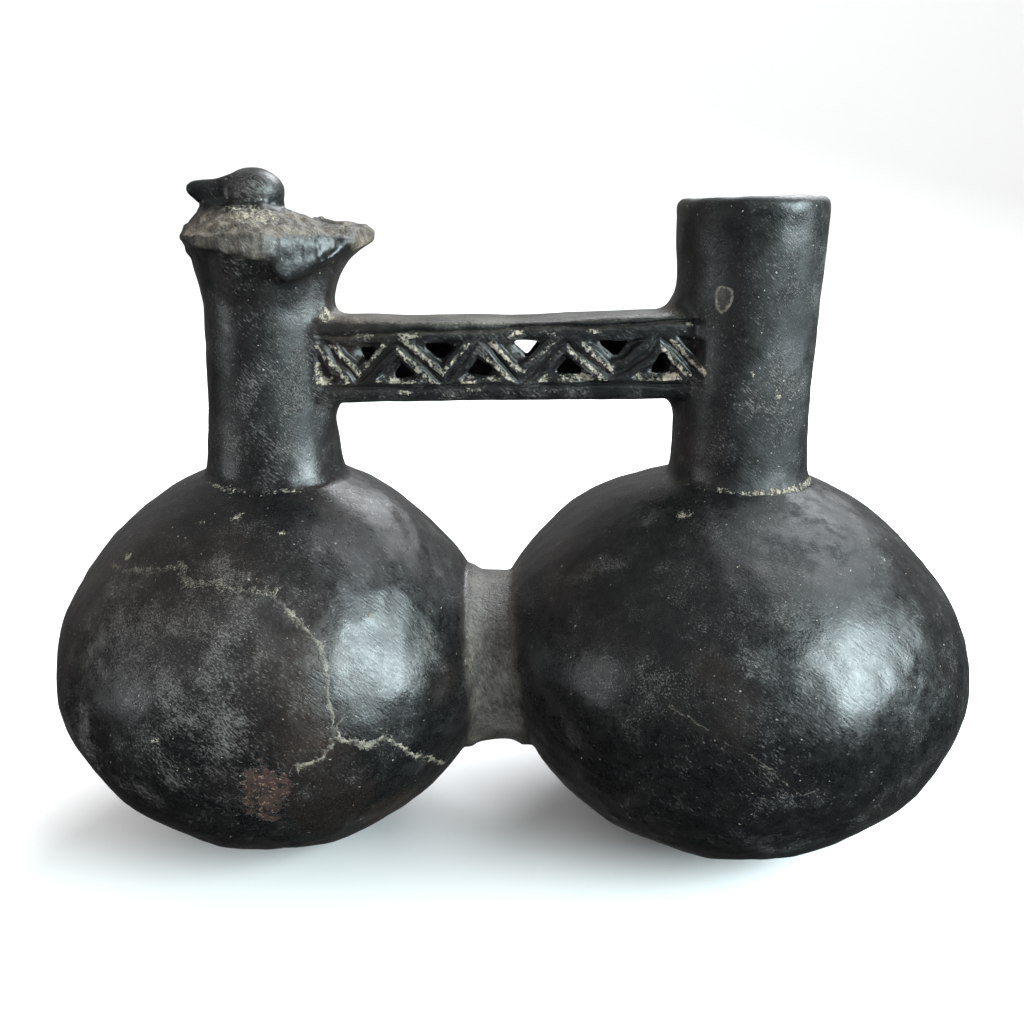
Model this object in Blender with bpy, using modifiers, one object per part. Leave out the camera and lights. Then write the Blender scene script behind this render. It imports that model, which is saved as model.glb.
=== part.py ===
"""Blackware double-chambered bottle: two round bodies joined by a short tube, a closed neck with a small
bird head on the left, an open spout on the right, and a hollow pierced bridge between the two necks.
It is one piece of fired clay, so it is one solid: all its forms are fused, and then hollowed.
Metres, +Z up. The origin is on the floor, midway along the vessel and across it."""

import math

import bmesh
import bpy
from mathutils import Matrix, Vector

MM = 0.001
MERGE = 0.01 * MM

# The clay
WALL = 4.6 * MM
BASE_WALL = 4.4 * MM
NECK_WALL = 3.8 * MM
PAST_WALL = 1.5 * MM
FOOT_WEAR = 2.4 * MM

# The left body
LEFT_RADIUS = 55.2 * MM
LEFT_UPPER_HEIGHT = 53.4 * MM
LEFT_LOWER_HEIGHT = 48.2 * MM
LEFT_UPPER_ROUNDNESS = 1.79
LEFT_LOWER_ROUNDNESS = 1.74

# The right body, which is larger and leans outwards
RIGHT_RADIUS = 59.2 * MM
RIGHT_UPPER_HEIGHT = 47.0 * MM
RIGHT_LOWER_HEIGHT = 52.7 * MM
RIGHT_UPPER_ROUNDNESS = 1.83
RIGHT_LOWER_ROUNDNESS = 1.91
RIGHT_LEAN = 7.0

# The tube that joins them
BODY_GAP = 0.3 * MM
TUBE_RADIUS = 21.9 * MM
TUBE_DROP = 1.7 * MM
TUBE_FLARE = 1.4 * MM
TUBE_WALL = 4.6 * MM

# The two necks, a little off the middles of their bodies
LEFT_NECK_RADIUS = 15.3 * MM
LEFT_NECK_LENGTH = 59.0 * MM
LEFT_NECK_SHIFT = 1.2 * MM
LEFT_NECK_CLOSURE = 5.0 * MM
RIGHT_NECK_RADIUS = 17.1 * MM
RIGHT_NECK_LENGTH = 66.0 * MM
RIGHT_NECK_SHIFT = 0.2 * MM
RIGHT_NECK_TAPER = 0.8 * MM
LIP_ROUNDING = 1.9 * MM
NECK_ROOT = 4.2 * MM
NECK_ROOT_END = 250

# The broken flange that closes the left neck, and the stub on it
FLANGE_SPREAD = 2.6 * MM
FLANGE_LEDGE = 1.0 * MM
FLANGE_DEPTH = 5.8 * MM
FLANGE_SLOPE = 15.5 * MM
STUB_REACH = 26.2 * MM
STUB_THICKNESS = 6.0 * MM
STUB_WIDTH = 15.0 * MM
STUB_ROOT = 8.6 * MM
LUG_DROP = 13.0 * MM
LUG_TOP_RADIUS = 8.0 * MM
LUG_TIP_RADIUS = 1.6 * MM
LUG_ASIDE = 9.1 * MM
LUG_FORWARD = 9.5 * MM

# The small bird head that lies on the flange, with its beak to the left
HEAD_LENGTH = 15.2 * MM
HEAD_HEIGHT = 11.0 * MM
HEAD_WIDTH = 13.0 * MM
HEAD_RISE = 1.2 * MM
HEAD_SHIFT = 2.2 * MM
BEAK_LENGTH = 7.6 * MM
BEAK_HEIGHT = 6.4 * MM
BEAK_TIP = 2.4 * MM
BEAK_LIFT = 4.0
MOUND_SHIFT = 4.2 * MM
MOUND_LENGTH = 23.6 * MM
MOUND_WIDTH = 19.0 * MM
MOUND_HEIGHT = 5.6 * MM

# The pierced bridge between the necks, which rises a little towards the spout
BRIDGE_HEIGHT = 19.5 * MM
BRIDGE_DEPTH = 19.0 * MM
FINGER_GAP = 18.4 * MM
BRIDGE_RISE = 1.2 * MM
BRIDGE_WALL = 3.4 * MM
BRIDGE_ROUNDING = 2.2 * MM
BRIDGE_CORNER = 2.8 * MM

# Its openwork: a zigzag bar between two rails, with a triangle cut through in each bay
RAIL_HEIGHT = 4.8 * MM
BAR_WIDTH = 6.2 * MM
BAR_RELIEF = 1.2 * MM
FRONT_START = 9.2 * MM
FRONT_STEP = 8.55 * MM
FRONT_STEP_GROWTH = 0.4 * MM
BACK_START = 9.5 * MM
BACK_STEP = 7.35 * MM
HOLE_SHARE = 0.62
BACK_HOLE_SHARE = 0.8
HOLE_RISE = 0.8 * MM
GROOVE = 0.6 * MM
GROOVE_LIFT = 0.12 * MM
GROOVE_STOP = 1.8 * MM
TOP_GROOVE = 1.9 * MM
BOTTOM_GROOVE = 3.6 * MM

# How finely the round forms are divided
BODY_SIDES = 44
BODY_RINGS = 11
INNER_SIDES = 28
INNER_RINGS = 6
NECK_SIDES = 32
FIGURE_SIDES = 18
FIGURE_RINGS = 9
ARC_STEPS = 3
TUBE_STEPS = 4

CLAY_COLOUR = (0.022, 0.021, 0.021, 1.0)
CLAY_ROUGHNESS = 0.42


def clear_scene():
    for obj in list(bpy.data.objects):
        bpy.data.objects.remove(obj, do_unlink=True)


def new_collection(name):
    collection = bpy.data.collections.new(name)
    bpy.context.scene.collection.children.link(collection)
    return collection


def clay():
    material = bpy.data.materials.new("burnished_blackware")
    material.use_nodes = True
    shader = material.node_tree.nodes["Principled BSDF"]
    shader.inputs["Base Color"].default_value = CLAY_COLOUR
    shader.inputs["Roughness"].default_value = CLAY_ROUGHNESS
    shader.inputs["Metallic"].default_value = 0.0
    return material


def place(obj, collection, location=(0, 0, 0), rotation=(0, 0, 0), parent=None):
    collection.objects.link(obj)
    obj.location = location
    obj.rotation_euler = rotation
    obj.parent = parent
    return obj


def as_form(obj):
    """A form that is only fused to, or cut from, the vessel."""
    obj.hide_render = True
    obj.display_type = "WIRE"
    return obj


def turned(name, profile, sides):
    """A closed solid turned about Z from half an outline, which runs from its top to its bottom."""
    mesh = bpy.data.meshes.new(name)
    edges = [(i, i + 1) for i in range(len(profile) - 1)]
    mesh.from_pydata([(radius, 0.0, height) for radius, height in profile], edges, [])
    obj = bpy.data.objects.new(name, mesh)
    screw = obj.modifiers.new("Turn", "SCREW")
    screw.axis = "Z"
    screw.steps = screw.render_steps = sides
    screw.use_merge_vertices = True
    screw.merge_threshold = MERGE
    return obj


def from_bmesh(name, bm):
    mesh = bpy.data.meshes.new(name)
    bmesh.ops.recalc_face_normals(bm, faces=bm.faces)
    bm.to_mesh(mesh)
    bm.free()
    return bpy.data.objects.new(name, mesh)


def ellipsoid(name, size):
    bm = bmesh.new()
    scale = Matrix.Diagonal((*(Vector(size) / 2), 1.0))
    bmesh.ops.create_uvsphere(bm, u_segments=FIGURE_SIDES, v_segments=FIGURE_RINGS, radius=1.0, matrix=scale)
    return from_bmesh(name, bm)


def block(name, low, high):
    bm = bmesh.new()
    low, high = Vector(low), Vector(high)
    box = Matrix.Translation((low + high) / 2) @ Matrix.Diagonal((*(high - low), 1.0))
    bmesh.ops.create_cube(bm, size=1.0, matrix=box)
    return from_bmesh(name, bm)


def extruded(name, outline, depth, rounding):
    """A flat outline in XZ, given a depth along Y and rounded edges, as a welded mesh."""
    curve = bpy.data.curves.new(name, "CURVE")
    curve.dimensions = "2D"
    curve.fill_mode = "BOTH"
    curve.extrude = depth / 2 - rounding
    curve.bevel_depth = rounding
    curve.bevel_resolution = 1
    curve.offset = -rounding
    spline = curve.splines.new("POLY")
    spline.points.add(len(outline) - 1)
    for point, (x, z) in zip(spline.points, outline):
        point.co = (x, z, 0.0, 1.0)
    spline.use_cyclic_u = True
    flat = bpy.data.objects.new(name, curve)
    bpy.context.scene.collection.objects.link(flat)
    graph = bpy.context.evaluated_depsgraph_get()
    mesh = bpy.data.meshes.new_from_object(flat.evaluated_get(graph))
    bpy.data.objects.remove(flat, do_unlink=True)
    bm = bmesh.new()
    bm.from_mesh(mesh)
    bmesh.ops.remove_doubles(bm, verts=bm.verts, dist=MERGE)
    bmesh.ops.rotate(bm, verts=bm.verts, matrix=Matrix.Rotation(math.pi / 2, 3, "X"))
    return from_bmesh(name, bm)


def arc(centre, radius, start, end, steps=ARC_STEPS):
    """Points of an arc, with its angles in degrees from +X."""
    angles = [math.radians(start + (end - start) * i / steps) for i in range(steps + 1)]
    return [(centre[0] + radius * math.cos(a), centre[1] + radius * math.sin(a)) for a in angles]


def body_profile(radius, upper, lower, upper_roundness, lower_roundness, rings):
    """Half a body's outline: a superellipse above the waist and another one below it."""
    points = []
    for step in range(-rings, rings + 1):
        angle = math.pi / 2 * abs(step) / rings
        height, roundness = (upper, upper_roundness) if step < 0 else (-lower, lower_roundness)
        across = math.cos(angle) ** (2 / roundness) if abs(step) < rings else 0.0
        points.append((radius * across, height * math.sin(angle) ** (2 / roundness)))
    return points


def shoulder(radius, height, roundness, across):
    """The height over the waist at which a body is as wide as the reach across."""
    return height * max(0.0, 1 - (across / radius) ** roundness) ** (1 / roundness)


def left_outline(inset=0.0, base=0.0, rings=BODY_RINGS):
    return body_profile(LEFT_RADIUS - inset, LEFT_UPPER_HEIGHT - inset, LEFT_LOWER_HEIGHT - base,
                        LEFT_UPPER_ROUNDNESS, LEFT_LOWER_ROUNDNESS, rings)


def right_outline(inset=0.0, base=0.0, rings=BODY_RINGS):
    return body_profile(RIGHT_RADIUS - inset, RIGHT_UPPER_HEIGHT - inset, RIGHT_LOWER_HEIGHT - base,
                        RIGHT_UPPER_ROUNDNESS, RIGHT_LOWER_ROUNDNESS, rings)


def reach(outline, lean, direction):
    """How far a turned body that leans towards +X goes in a direction of the XZ plane."""
    x, z = direction
    along = x * math.sin(lean) + z * math.cos(lean)
    across = math.sqrt(max(0.0, x * x + z * z - along * along))
    return max(radius * across + height * along for radius, height in outline)


def waist_sag(radius, height, roundness, off):
    """How far a body's side falls back, at a height off its waist."""
    return radius - shoulder(height, radius, roundness, off)


class Layout:
    """Where the forms stand, worked out from the sizes above."""

    def __init__(self):
        self.lean = math.radians(RIGHT_LEAN)
        right = right_outline()
        outer = reach(right, self.lean, (1, 0))
        length = 2 * LEFT_RADIUS + BODY_GAP + reach(right, self.lean, (-1, 0)) + outer
        self.left = Vector((LEFT_RADIUS - length / 2, 0.0, LEFT_LOWER_HEIGHT - FOOT_WEAR))
        self.right = Vector((length / 2 - outer, 0.0, reach(right, self.lean, (0, -1)) - FOOT_WEAR))
        middle = (self.left.z + self.right.z) / 2 - TUBE_DROP
        self.joint = Vector((self.left.x + LEFT_RADIUS + BODY_GAP / 2, 0.0, middle))

        self.left_neck = self.left.x + LEFT_NECK_SHIFT
        self.right_neck = self.right.x + RIGHT_NECK_SHIFT
        self.left_shoulder = self.left.z + shoulder(
            LEFT_RADIUS, LEFT_UPPER_HEIGHT, LEFT_UPPER_ROUNDNESS, LEFT_NECK_RADIUS)
        self.right_shoulder = self.right.z + shoulder(
            RIGHT_RADIUS, RIGHT_UPPER_HEIGHT, RIGHT_UPPER_ROUNDNESS, RIGHT_NECK_RADIUS)
        self.flange = self.left_shoulder + LEFT_NECK_LENGTH
        self.rim = self.right_shoulder + RIGHT_NECK_LENGTH

        start = self.left_neck + LEFT_NECK_RADIUS
        end = self.right_neck - RIGHT_NECK_RADIUS
        height = max(self.left_shoulder, self.right_shoulder) + FINGER_GAP + BRIDGE_HEIGHT / 2
        self.bridge = Vector(((start + end) / 2, 0.0, height))
        self.bridge_half = (end - start) / 2
        beside = max(0.0, RIGHT_NECK_RADIUS ** 2 - (BRIDGE_DEPTH / 2) ** 2)
        self.panel_end = self.bridge_half + RIGHT_NECK_RADIUS - math.sqrt(beside)


def neck_root(radius, height):
    """The foot of a neck, which spreads into its body and ends inside it."""
    spread = radius + NECK_ROOT
    return arc((spread, height + NECK_ROOT / 2), NECK_ROOT, 180, NECK_ROOT_END) + [
        (spread, height - NECK_ROOT), (0.0, height - NECK_ROOT)]


def left_neck(layout):
    edge, top = LEFT_NECK_RADIUS + FLANGE_SPREAD, layout.flange
    profile = [(0.0, top), (edge - LIP_ROUNDING, top), (edge, top - LIP_ROUNDING), (edge, top - FLANGE_DEPTH),
               (edge - FLANGE_LEDGE, top - FLANGE_DEPTH - FLANGE_LEDGE), (LEFT_NECK_RADIUS, top - FLANGE_SLOPE)]
    return turned("left_neck_form", profile + neck_root(LEFT_NECK_RADIUS, layout.left_shoulder), NECK_SIDES)


def right_neck(layout):
    waist = RIGHT_NECK_RADIUS - RIGHT_NECK_TAPER
    lip = arc((RIGHT_NECK_RADIUS - LIP_ROUNDING, layout.rim - LIP_ROUNDING), LIP_ROUNDING, 90, 0)
    under_bridge = (waist, layout.bridge.z - BRIDGE_HEIGHT / 2)
    profile = [(0.0, layout.rim)] + lip + [under_bridge] + neck_root(waist, layout.right_shoulder)
    return turned("spout_form", profile, NECK_SIDES)


def spout_bore(layout):
    """The bore of the open neck, which opens out a little over its rounded lip."""
    radius = RIGHT_NECK_RADIUS - NECK_WALL
    low = layout.right.z
    over, mouth = layout.rim + LIP_ROUNDING, radius + LIP_ROUNDING
    lip = arc((mouth, layout.rim - LIP_ROUNDING), LIP_ROUNDING, 90, 180)
    root = radius - RIGHT_NECK_TAPER
    profile = [(0.0, over), (mouth, over)] + lip + [(root, layout.right_shoulder), (root, low), (0.0, low)]
    return turned("spout_bore", profile, INNER_SIDES)


def closed_bore(layout):
    """The blind bore of the left neck, round at its top."""
    radius = LEFT_NECK_RADIUS - NECK_WALL
    top, low = layout.flange - LEFT_NECK_CLOSURE, layout.left.z
    profile = [(0.0, top)] + arc((radius - NECK_WALL, top - NECK_WALL), NECK_WALL, 90, 0)
    return turned("closed_bore", profile + [(radius, low), (0.0, low)], INNER_SIDES)


def tube():
    """The joining tube, turned about its own axis, which spreads where it meets the bodies."""
    widest = TUBE_RADIUS + TUBE_FLARE
    half = BODY_GAP / 2 + WALL + waist_sag(LEFT_RADIUS, LEFT_UPPER_HEIGHT, LEFT_UPPER_ROUNDNESS, TUBE_RADIUS)
    profile = [(0.0, half)]
    for step in range(-TUBE_STEPS, TUBE_STEPS + 1):
        share = step / TUBE_STEPS
        profile.append((TUBE_RADIUS + (widest - TUBE_RADIUS) * share ** 2, -half * share))
    return turned("tube_form", profile + [(0.0, -half)], NECK_SIDES)


def tube_bore():
    radius = TUBE_RADIUS - TUBE_WALL
    sag = waist_sag(LEFT_RADIUS - WALL, LEFT_UPPER_HEIGHT - WALL, LEFT_UPPER_ROUNDNESS, radius)
    half = BODY_GAP / 2 + WALL + sag + PAST_WALL
    return turned("tube_bore", [(0.0, half), (radius, half), (radius, -half), (0.0, -half)], INNER_SIDES)


def bridge_form(half):
    """The bridge's outline, with its ends running up and down the necks in round corners."""
    edge, corner = BRIDGE_HEIGHT / 2 + BRIDGE_CORNER, BRIDGE_CORNER
    inside = half + min(LEFT_NECK_RADIUS, RIGHT_NECK_RADIUS) / 2
    top = [(-inside, edge)] + arc((corner - half, edge), corner, 180, 270)
    top += arc((half - corner, edge), corner, 270, 360) + [(inside, edge)]
    bottom = [(x, -z) for x, z in reversed(top)]
    return extruded("bridge_form", top + bottom, BRIDGE_DEPTH, BRIDGE_ROUNDING)


def bays(start, end, step, growth, up):
    """The middles of the zigzag's bays, each with its distance to the next and whether it points up."""
    centres = []
    x, gap = start, step
    while x + gap / 2 < end:
        centres.append((x, gap, up))
        x, gap, up = x + gap, gap + growth, not up
    return centres


def half_zone():
    """Half the height between the two rails."""
    return BRIDGE_HEIGHT / 2 - RAIL_HEIGHT


def triangle_prism(bm, x, z, width, height, y_range):
    """Adds a triangle that is level on one side and points along Z, given a depth along Y."""
    near, far = y_range
    corners = [(x - width / 2, z - height / 2), (x + width / 2, z - height / 2), (x, z + height / 2)]
    face = bm.faces.new([bm.verts.new((a, near, c)) for a, c in corners])
    drawn = bmesh.ops.extrude_face_region(bm, geom=[face])["geom"]
    verts = [v for v in drawn if isinstance(v, bmesh.types.BMVert)]
    bmesh.ops.translate(bm, verts=verts, vec=(0.0, far - near, 0.0))


def cut_bays(name, rows, share, y_range, rise=0.0):
    """Cutters as wide and high as a share of each bay, which fills the zigzag from rail to bar."""
    zone = half_zone()
    bm = bmesh.new()
    for x, gap, up in rows:
        width = max(2 * gap - BAR_WIDTH, gap / 2)
        height = (1 if up else -1) * zone * width / gap
        middle = height / 2 - math.copysign(zone, height) + rise
        triangle_prism(bm, x, middle, width * share, height * share, y_range)
    return from_bmesh(name, bm)


def groove_cutter(name, lines, y):
    """Four-sided bars along lines on the panel's face, which cut shallow grooves."""
    bm = bmesh.new()
    for (x0, z0), (x1, z1) in lines:
        start, end = Vector((x0, y, z0)), Vector((x1, y, z1))
        turn = (end - start).to_track_quat("Z", "Y").to_matrix().to_4x4()
        bmesh.ops.create_cone(bm, cap_ends=True, segments=4, radius1=GROOVE, radius2=GROOVE,
                              depth=(end - start).length, matrix=Matrix.Translation((start + end) / 2) @ turn)
    return from_bmesh(name, bm)


def zigzag_lines(rows):
    """The middle line of each bar, from the tip of one bay to the tip of the next."""
    zone = half_zone()
    tips = [Vector((x, zone if up else -zone)) for x, _, up in rows]
    (first, gap, first_up), (last, wide, last_up) = rows[0], rows[-1]
    tips.insert(0, Vector((first - gap, -zone if first_up else zone)))
    tips.append(Vector((last + wide, -zone if last_up else zone)))
    lines = []
    for start, end in zip(tips, tips[1:]):
        stop = (end - start).normalized() * GROOVE_STOP
        lines.append((start + stop, end - stop))
    return lines


def stub_form(top):
    """The broken stub, flat on top, whose underside sweeps down into the neck."""
    drop = STUB_THICKNESS
    root, heel = top - drop - STUB_ROOT, STUB_REACH - drop / 3
    edge = [(0.0, root), (LEFT_NECK_RADIUS, root)]
    for step in range(1, ARC_STEPS + 1):
        angle = math.pi / 2 * step / ARC_STEPS
        edge.append((heel - (heel - LEFT_NECK_RADIUS) * math.cos(angle), root + STUB_ROOT * math.sin(angle)))
    edge += [(STUB_REACH, top - drop / 3), (STUB_REACH - drop / 2, top),
             (LEFT_NECK_RADIUS + FLANGE_SPREAD - drop, top), (0.0, top - LIP_ROUNDING)]
    return extruded("stub_form", edge, STUB_WIDTH, LIP_ROUNDING / 2)


def cone(name, radius1, radius2, length, turn):
    """A blunt cone from the origin along the turned Z."""
    bm = bmesh.new()
    bmesh.ops.create_cone(bm, cap_ends=True, segments=FIGURE_SIDES, radius1=radius1, radius2=radius2,
                          depth=length, matrix=turn @ Matrix.Translation((0.0, 0.0, length / 2)))
    return from_bmesh(name, bm)


def figure_forms(layout, forms):
    """The stub, the lug under it, and the bird head with its beak on a low mound."""
    neck, top = layout.left_neck, layout.flange
    head_at = Vector((neck - HEAD_SHIFT, 0.0, top + HEAD_RISE + HEAD_HEIGHT / 2))
    beak_at = head_at + Vector((BEAK_TIP / 2 - HEAD_LENGTH / 2, 0.0, 0.0))
    mound = ellipsoid("mound_form", (MOUND_LENGTH, MOUND_WIDTH, 2 * MOUND_HEIGHT))
    beak = cone("beak_form", BEAK_HEIGHT / 2, BEAK_TIP / 2, BEAK_LENGTH, Matrix.Rotation(-math.pi / 2, 4, "Y"))
    lug = cone("lug_form", LUG_TOP_RADIUS, LUG_TIP_RADIUS, LUG_DROP, Matrix.Rotation(math.pi, 4, "X"))
    return [
        place(stub_form(top), forms, (neck, 0.0, 0.0)),
        place(lug, forms, (neck + LUG_ASIDE, -LUG_FORWARD, top - LIP_ROUNDING)),
        place(mound, forms, (neck - MOUND_SHIFT, 0.0, top)),
        place(ellipsoid("head_form", (HEAD_LENGTH, HEAD_WIDTH, HEAD_HEIGHT)), forms, head_at),
        place(beak, forms, beak_at, (0.0, math.radians(BEAK_LIFT), 0.0)),
    ]


def hollow_forms(layout, forms):
    """The space inside the bodies, the tube and the necks."""
    base = FOOT_WEAR + BASE_WALL
    left = turned("left_hollow", left_outline(WALL, base, INNER_RINGS), INNER_SIDES)
    right = turned("right_hollow", right_outline(WALL, base, INNER_RINGS), INNER_SIDES)
    return [
        place(left, forms, layout.left),
        place(right, forms, layout.right, (0.0, layout.lean, 0.0)),
        place(tube_bore(), forms, layout.joint, (0.0, math.pi / 2, 0.0)),
        place(closed_bore(layout), forms, (layout.left_neck, 0.0, 0.0)),
        place(spout_bore(layout), forms, (layout.right_neck, 0.0, 0.0)),
    ]


def openwork_forms(layout, forms, bridge):
    """The hollow of the bridge, the bays and holes of both panels, and the front panel's grooves."""
    half, rise, across = layout.bridge_half, BRIDGE_HEIGHT / 2, BRIDGE_DEPTH / 2
    end, wall = half - BRIDGE_ROUNDING, BRIDGE_WALL
    front = bays(FRONT_START - half, layout.panel_end, FRONT_STEP, FRONT_STEP_GROWTH, False)
    back = bays(BACK_START - half, layout.panel_end, BACK_STEP, 0.0, True)
    pierced = [bay for bay in back if not bay[2]]
    outside, into = 2 * across, across - wall - PAST_WALL
    rails = [((-end, z), (end, z)) for z in (BOTTOM_GROOVE - rise, rise - TOP_GROOVE)]
    face = -across - GROOVE_LIFT
    cutters = [
        block("bridge_hollow", (-end, wall - across, wall - rise), (end, across - wall, rise - wall)),
        cut_bays("front_bays", front, 1.0, (-outside, BAR_RELIEF - across)),
        cut_bays("back_bays", back, 1.0, (across - BAR_RELIEF, outside)),
        cut_bays("front_holes", front, HOLE_SHARE, (-outside, -into), HOLE_RISE),
        cut_bays("back_holes", pierced, BACK_HOLE_SHARE, (into, outside)),
        groove_cutter("zigzag_grooves", zigzag_lines(front), face),
        groove_cutter("rail_grooves", rails, face),
    ]
    return [place(cutter, forms, parent=bridge) for cutter in cutters]


def build():
    clear_scene()
    layout = Layout()
    shown = new_collection("double_vessel")
    forms = new_collection("forms")
    vessel = place(turned("vessel", left_outline(), BODY_SIDES), shown, layout.left)
    vessel.data.materials.append(clay())

    bridge = bpy.data.objects.new("bridge_frame", None)
    slope = math.atan2(BRIDGE_RISE, 2 * layout.bridge_half)
    place(bridge, forms, layout.bridge, (0.0, -slope, 0.0))

    right_body = turned("right_body_form", right_outline(), BODY_SIDES)
    fused = [
        place(right_body, forms, layout.right, (0.0, layout.lean, 0.0)),
        place(tube(), forms, layout.joint, (0.0, math.pi / 2, 0.0)),
        place(left_neck(layout), forms, (layout.left_neck, 0.0, 0.0)),
        place(right_neck(layout), forms, (layout.right_neck, 0.0, 0.0)),
        place(bridge_form(layout.bridge_half), forms, parent=bridge),
    ]
    fused += figure_forms(layout, forms)

    far = 2 * (LEFT_RADIUS + RIGHT_RADIUS)
    floor = place(block("floor", (-far, -far, -far), (far, far, 0.0)), forms)
    cut = hollow_forms(layout, forms) + openwork_forms(layout, forms, bridge) + [floor]
    for operation, operands in (("UNION", fused), ("DIFFERENCE", cut)):
        for form in operands:
            boolean = vessel.modifiers.new(form.name, "BOOLEAN")
            boolean.operation = operation
            boolean.object = as_form(form)


build()
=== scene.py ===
import math
import bmesh
import bpy
import numpy as np
from mathutils import Matrix, Vector


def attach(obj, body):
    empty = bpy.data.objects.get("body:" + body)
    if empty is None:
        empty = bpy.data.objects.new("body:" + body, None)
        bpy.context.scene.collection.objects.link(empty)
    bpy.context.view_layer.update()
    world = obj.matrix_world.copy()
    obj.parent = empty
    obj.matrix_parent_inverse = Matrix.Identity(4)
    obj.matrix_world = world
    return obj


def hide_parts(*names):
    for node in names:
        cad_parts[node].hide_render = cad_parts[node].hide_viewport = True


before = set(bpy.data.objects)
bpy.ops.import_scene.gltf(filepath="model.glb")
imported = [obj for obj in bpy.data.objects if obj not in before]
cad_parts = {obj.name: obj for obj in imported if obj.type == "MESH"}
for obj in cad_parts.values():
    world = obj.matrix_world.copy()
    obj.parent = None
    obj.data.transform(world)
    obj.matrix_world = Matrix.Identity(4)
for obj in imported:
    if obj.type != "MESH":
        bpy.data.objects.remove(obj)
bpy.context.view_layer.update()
scene = bpy.context.scene

# The clay is shaped in millimetres, and brought to metres when it is finished
mm = 0.001

stage = {
    "eye": (0.3, -255.8, 160.8), "pitchDown": 16.5, "lens": 37.5, "sensor": 36.0,
    "floorDrop": 0.2, "floorWide": 6000.0, "floorFront": -2500.0, "wallBack": 1500.0, "wallCurve": 900.0,
    "wallTop": 3500.0, "curveSteps": 16, "clipStart": 0.01, "clipEnd": 50.0,
}

bodies = {
    "leftMiddle": (-59.03, 0.0, 45.8), "leftRadius": 55.2, "leftUp": 53.4, "leftDown": 48.2,
    "leftUpRound": 1.79, "leftDownRound": 1.74,
    "rightMiddle": (55.44, 0.0, 50.29), "rightRadius": 59.2, "rightUp": 47.0, "rightDown": 52.7,
    "rightUpRound": 1.83, "rightDownRound": 1.91, "rightLean": 7.0, "wall": 4.6, "base": 6.8,
    "tubeMiddle": (-3.68, 0.0, 46.34), "tubeRadius": 21.9, "tubeHalf": 11.5, "tubeFillet": 5.0, "tubeStraight": 2.7,
    "tubeTurn": 46.0, "tubeWall": 4.6, "tubeCollar": (1.4, 8.6), "tubeTuck": 1.0, "boreOver": 2.0,
    "tubeLook": (23.0, 27.0), "tubeLookHalf": (4.0, 9.0),
    "handLumps": 0.22, "handLumpSize": 26.0, "fineLumps": 0.05, "fineLumpSize": 7.0,
}

necks = {
    "leftX": -57.83, "rightX": 55.64, "bore": 13.3, "leftBore": 11.5, "leftBoreTop": 150.0, "rim": 160.57,
    "rimTilt": 0.45, "rimTiltOver": 17.0, "lip": 1.9, "leftBoreEnd": 46.0, "leftBoreChamfer": 3.0, "spoutRadius": 17.1,
    "lipOver": 0.1, "mouthOver": 2.0, "mouthWiden": 1.4, "boreIn": 0.8, "boreWaist": 94.0, "boreEnd": 52.0,
    "rightLean": 0.45, "leanHeights": (100.0, 165.0), "leanX": (36.0, 46.0),
    # radius and height, from the broken flange down to the root
    "leftOutline": [(0.0, 159.6), (6.0, 159.4), (8.6, 159.0), (9.6, 158.2), (11.3, 156.9), (13.8, 155.5),
                    (16.4, 154.2), (17.8, 153.2), (18.2, 152.4), (17.8, 150.4), (17.0, 148.4), (16.2, 147.0),
                    (15.9, 145.6), (15.5, 143.8), (14.9, 140.6), (14.4, 137.0), (14.4, 130.0), (14.5, 120.0),
                    (14.8, 112.0), (15.3, 106.0), (15.9, 101.0), (16.6, 97.4), (18.0, 94.2), (0.0, 90.0)],
    "rightOutline": [(17.1, 151.0), (16.7, 142.0), (16.4, 132.0), (16.4, 115.0), (16.4, 104.0), (16.5, 99.0),
                     (16.9, 96.3), (18.1, 93.4), (0.0, 89.0)],
    "crustShift": 4.5, "crustFrom": 152.0, "crustTo": 158.8,
}

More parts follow.
